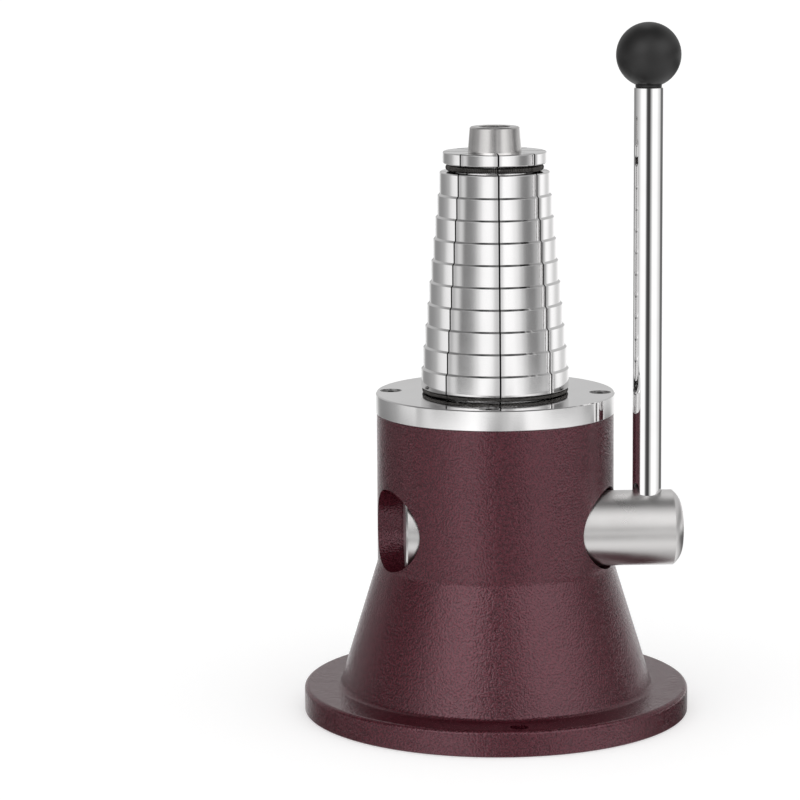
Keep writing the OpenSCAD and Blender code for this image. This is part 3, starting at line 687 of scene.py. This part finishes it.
def lever_knob():
    """Ball of radius R round height h, its outline (R cos a, h + R sin a), with
    a thin collar underneath and a bore for the threaded insert."""
    collar_round, neck_gap, rows = 0.15 * MM, 0.05 * MM, 73
    a = np.linspace(-math.acos(COLLAR_R / KNOB_R), math.pi / 2, rows)
    ball = np.stack([np.maximum(KNOB_R * np.cos(a), 0), KNOB_Z + KNOB_R * np.sin(a)], -1)
    ball[-1, 0] = 0
    base = KNOB_LO[2]
    corners = [(0, INSERT_HI[2]), (INSERT_R, INSERT_HI[2]), (INSERT_R, base),
               (COLLAR_R, base, collar_round), (COLLAR_R, ball[0, 1] - neck_gap)] + ball.tolist()
    obj = turned("lever_knob_skin", corners, 160, (ROD_X, SHAFT_Y, 0))
    dress(obj, [PHENOLIC], "black_knob", "lever", "lever_knob")


# ---- stage: floor, light and camera ----

def floor():
    """Pale matt sheet that keeps the object's shadow and isn't mirrored."""
    mat, tree, _ = new_material("pale_floor")
    sheet = add(tree, "ShaderNodeBsdfPrincipled", Base_Color=srgb("#e7e7e7"), Roughness=0.9,
                Emission_Color=srgb("#ffffff"), Emission_Strength=0.38)
    add(tree, "ShaderNodeOutputMaterial", Surface=sheet)
    side, drop = 12.0, -0.2 * MM
    corners = [(-side, -side, drop), (side, -side, drop), (side, side, drop), (-side, side, drop)]
    obj = surface("floor", corners, np.array([(0, 1, 2, 3)]))
    obj.data.materials.append(mat)
    obj.visible_glossy = False


# Soft boxes and dark flags round the object, as (azimuth in degrees from
# straight ahead towards the lever, brightness), in five rings: from well below
# the eye's height to well above it
LOWEST_RING = [(-180, .95), (-166, .7), (-150, .3), (-135, .1), (-106, .1), (-88, .25), (-54, 1.05),
               (-28, 1.55), (-10, .4), (-2, .1), (6, .6), (9, .6), (16, .15), (30, .9), (58, 1.15),
               (90, .6), (100, .3), (112, .05), (138, .05), (152, .2), (166, .6), (180, .95)]
LOW_RING = [(-180, 1.1), (-162, .8), (-144, .25), (-108, .45), (-78, .8), (-54, 1.2), (-30, 1.2),
            (-16, .8), (-6, .6), (10, .6), (20, .7), (32, 1.2), (56, 1.2), (80, .9), (98, .7),
            (108, .2), (136, .15), (148, .6), (162, 1.0), (180, 1.1)]
EYE_RING = [(-180, 1.1), (-164, .7), (-146, .3), (-118, .45), (-89, 1.0), (-82, .5), (-74, .7),
            (-60, .25), (-34, .75), (-16, 1.15), (-4, .8), (4, .65), (16, 1.2), (34, 1.0), (48, .55),
            (64, .25), (84, .5), (96, .35), (111, 1.15), (136, .75), (156, 1.0), (180, 1.1)]
HIGH_RING = [(-180, .6), (-140, .5), (-110, .25), (-86, .4), (-64, .95), (-42, 1.1), (-26, .7),
             (-10, .25), (1, .25), (6, .55), (9, .55), (14, .3), (24, .6), (40, 1.05), (58, .85),
             (80, .4), (112, .15), (140, .5), (180, .6)]
HIGHEST_RING = [(-180, .6), (-130, .4), (-100, .1), (-62, .8), (-30, 2.0), (-16, 2.0), (-8, .4),
                (-2, .1), (3, .3), (12, 1.2), (44, 1.6), (84, .8), (114, .55), (180, .6)]
# Heights above the horizon, in degrees, where one ring gives way to the next
RING_EDGES = [(-10.4, -10.2), (-9.75, -9.5), (-2, 1), (9, 14)]
# The dark camera and its stand in front, as a share of LOW_RING, which only a
# mirror finish shows
LENS = [(-180, 1.0), (-36, 1.0), (-22, .5), (-13, .15), (0, .1), (10, .5), (22, 1.0), (180, 1.0)]
# Brightness by height in degrees, far below and far above the eye, and the
# heights where it takes over from the rings
HEIGHTS = [(-90, .45), (-70, .6), (-50, .85), (-30, 1.0), (30, 1.1), (48, 1.1), (62, .95), (72, .6),
           (79, .2), (90, .1)]
ABOVE_RINGS = (38, 56)
BELOW_RINGS = (-18, -38)
# The box overhead is a strip across the shaft: sideways share of the direction
# where it starts to dim, where it is dim, and how dim
STRIP_FULL, STRIP_END, STRIP_DIM = 0.08, 0.22, 0.2
# Soft light on everything that isn't a mirror, from behind and from in front
SOFT_BEHIND, SOFT_FRONT = 0.45, 1.25
# Brightness at the top of a curve's scale
BRIGHTEST = 2.0


def studio():
    """White for the camera, the rings of soft boxes for reflections, and soft
    light, mostly from in front, for everything else."""
    world = bpy.data.worlds.new("studio")
    bpy.context.scene.world = world
    world.use_nodes = True
    tree = world.node_tree
    tree.nodes.clear()
    skyward = add(tree, "ShaderNodeTexCoord").outputs["Generated"]
    way = add(tree, "ShaderNodeSeparateXYZ", Vector=skyward).outputs
    path = add(tree, "ShaderNodeLightPath").outputs
    ahead = add(tree, "ShaderNodeMath", {"operation": "MULTIPLY"}, _0=way[1], _1=-1.0)
    azimuth = add(tree, "ShaderNodeMath", {"operation": "ARCTAN2"}, _0=way[0], _1=ahead)
    height = add(tree, "ShaderNodeMath", {"operation": "ARCSINE"}, _0=way[2])
    degrees = add(tree, "ShaderNodeMath", {"operation": "DEGREES"}, _0=height)

    around = (LOWEST_RING, LOW_RING, EYE_RING, HIGH_RING, HIGHEST_RING, LENS)
    tables = [(points, azimuth, 360) for points in around] + [(HEIGHTS, height, 180)]
    rings = []
    for points, angle, full in tables:
        part = add(tree, "ShaderNodeMath", {"operation": "MULTIPLY_ADD"},
                   _0=angle, _1=180 / math.pi / full, _2=0.5)
        node = add(tree, "ShaderNodeFloatCurve", Value=part)
        curve = node.mapping.curves[0]
        for _ in points[2:]:
            curve.points.new(0.5, 0.5)
        for point, (place, brightness) in zip(curve.points, points):
            point.location = (place / full + 0.5, brightness / BRIGHTEST)
            point.handle_type = "AUTO_CLAMPED"
        node.mapping.update()
        rings.append(add(tree, "ShaderNodeMath", {"operation": "MULTIPLY"}, _0=node, _1=BRIGHTEST))

    level = rings[0]
    for ring, (start, end) in zip(rings[1:], RING_EDGES):
        above = add(tree, "ShaderNodeMapRange", {"interpolation_type": "SMOOTHSTEP"},
                    Value=degrees, From_Min=start, From_Max=end)
        level = add(tree, "ShaderNodeMix", {"data_type": "FLOAT"}, _0=above, _2=level, _3=ring)
    lens, steep = rings[5:]
    dimmed = add(tree, "ShaderNodeMath", {"operation": "MULTIPLY"}, _0=rings[1], _1=lens)
    level = add(tree, "ShaderNodeMix", {"data_type": "FLOAT"},
                _0=path["Is Singular Ray"], _2=level, _3=dimmed)
    aside = add(tree, "ShaderNodeMath", {"operation": "ABSOLUTE"}, _0=way[0])
    strip = add(tree, "ShaderNodeMapRange",
                Value=aside, From_Min=STRIP_FULL, From_Max=STRIP_END, To_Min=1.0, To_Max=STRIP_DIM)
    overhead = add(tree, "ShaderNodeMath", {"operation": "MULTIPLY"}, _0=steep, _1=strip)
    for (start, end), beyond in ((ABOVE_RINGS, overhead), (BELOW_RINGS, steep)):
        share = add(tree, "ShaderNodeMapRange", Value=degrees, From_Min=start, From_Max=end)
        level = add(tree, "ShaderNodeMix", {"data_type": "FLOAT"}, _0=share, _2=level, _3=beyond)
    soft = add(tree, "ShaderNodeMapRange",
               Value=ahead, From_Min=-1.0, From_Max=1.0, To_Min=SOFT_BEHIND, To_Max=SOFT_FRONT)
    light = add(tree, "ShaderNodeMix", {"data_type": "FLOAT"},
                _0=path["Is Glossy Ray"], _2=soft, _3=level)
    seen = add(tree, "ShaderNodeMix", {"data_type": "FLOAT"},
               _0=path["Is Camera Ray"], _2=light, _3=1.0)
    sky = add(tree, "ShaderNodeBackground", Color=srgb("#ffffff"), Strength=seen)
    add(tree, "ShaderNodeOutputWorld", Surface=sky)


def camera():
    """Long lens, a little left of straight ahead and above the mandrel. Eye,
    target, lens, shift and roll were fitted together to the photograph."""
    data = bpy.data.cameras.new("camera")
    data.sensor_width = 36.0
    data.lens = 142.98
    data.shift_y = -0.1
    data.clip_start, data.clip_end = 0.1, 40
    eye = Vector((-0.10866, -1.48915, 0.39679))
    target = Vector((-0.0453, -0.0050, 0.1890))
    roll = math.radians(-0.3575)
    obj = bpy.data.objects.new("camera", data)
    bpy.context.collection.objects.link(obj)
    obj.location = eye
    obj.rotation_mode = "QUATERNION"
    obj.rotation_quaternion = (target - eye).to_track_quat("-Z", "Y") @ Quaternion((0, 0, 1), roll)
    bpy.context.scene.camera = obj


# ---- the object and its stage ----

base_casting()
top_plate()
plate_screws()
section = jaw_section()
for number in range(1, JAWS + 1):
    jaw(number, section)
    spring_arc("upper_garter_spring", number, CAP_R - UPPER_INSET - UPPER_COIL / 2,
               (UPPER_LO[2] + UPPER_HI[2]) / 2, UPPER_DRAWN_COIL, UPPER_WIRE, UPPER_CURLS)
    spring_arc("lower_garter_spring", number, LOWEST_STEP_R - LOWER_INSET - LOWER_COIL / 2,
               (LOWER_LO[2] + LOWER_HI[2]) / 2, LOWER_COIL, LOWER_WIRE, LOWER_CURLS)
wedge_cone()
wedge_bolt()
smooth_copy("guide_block", TURNED, "machined_steel", "base")
smooth_copy("pinion_shaft", TURNED, "machined_steel", "lever")
smooth_copy("rod_set_screw", OXIDE, "blackened_steel", "lever")
smooth_copy("ram_rack", TURNED, "machined_steel", "ram")
lever_rod()
lever_knob()
for node, coat in (("block_dowel", TURNED), ("shaft_retaining_screw", OXIDE), ("knob_insert", BRASS)):
    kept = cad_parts[node].data.materials
    kept.clear()
    kept.append(coat)
floor()
studio()
camera()
bpy.context.scene.view_settings.view_transform = "Standard"
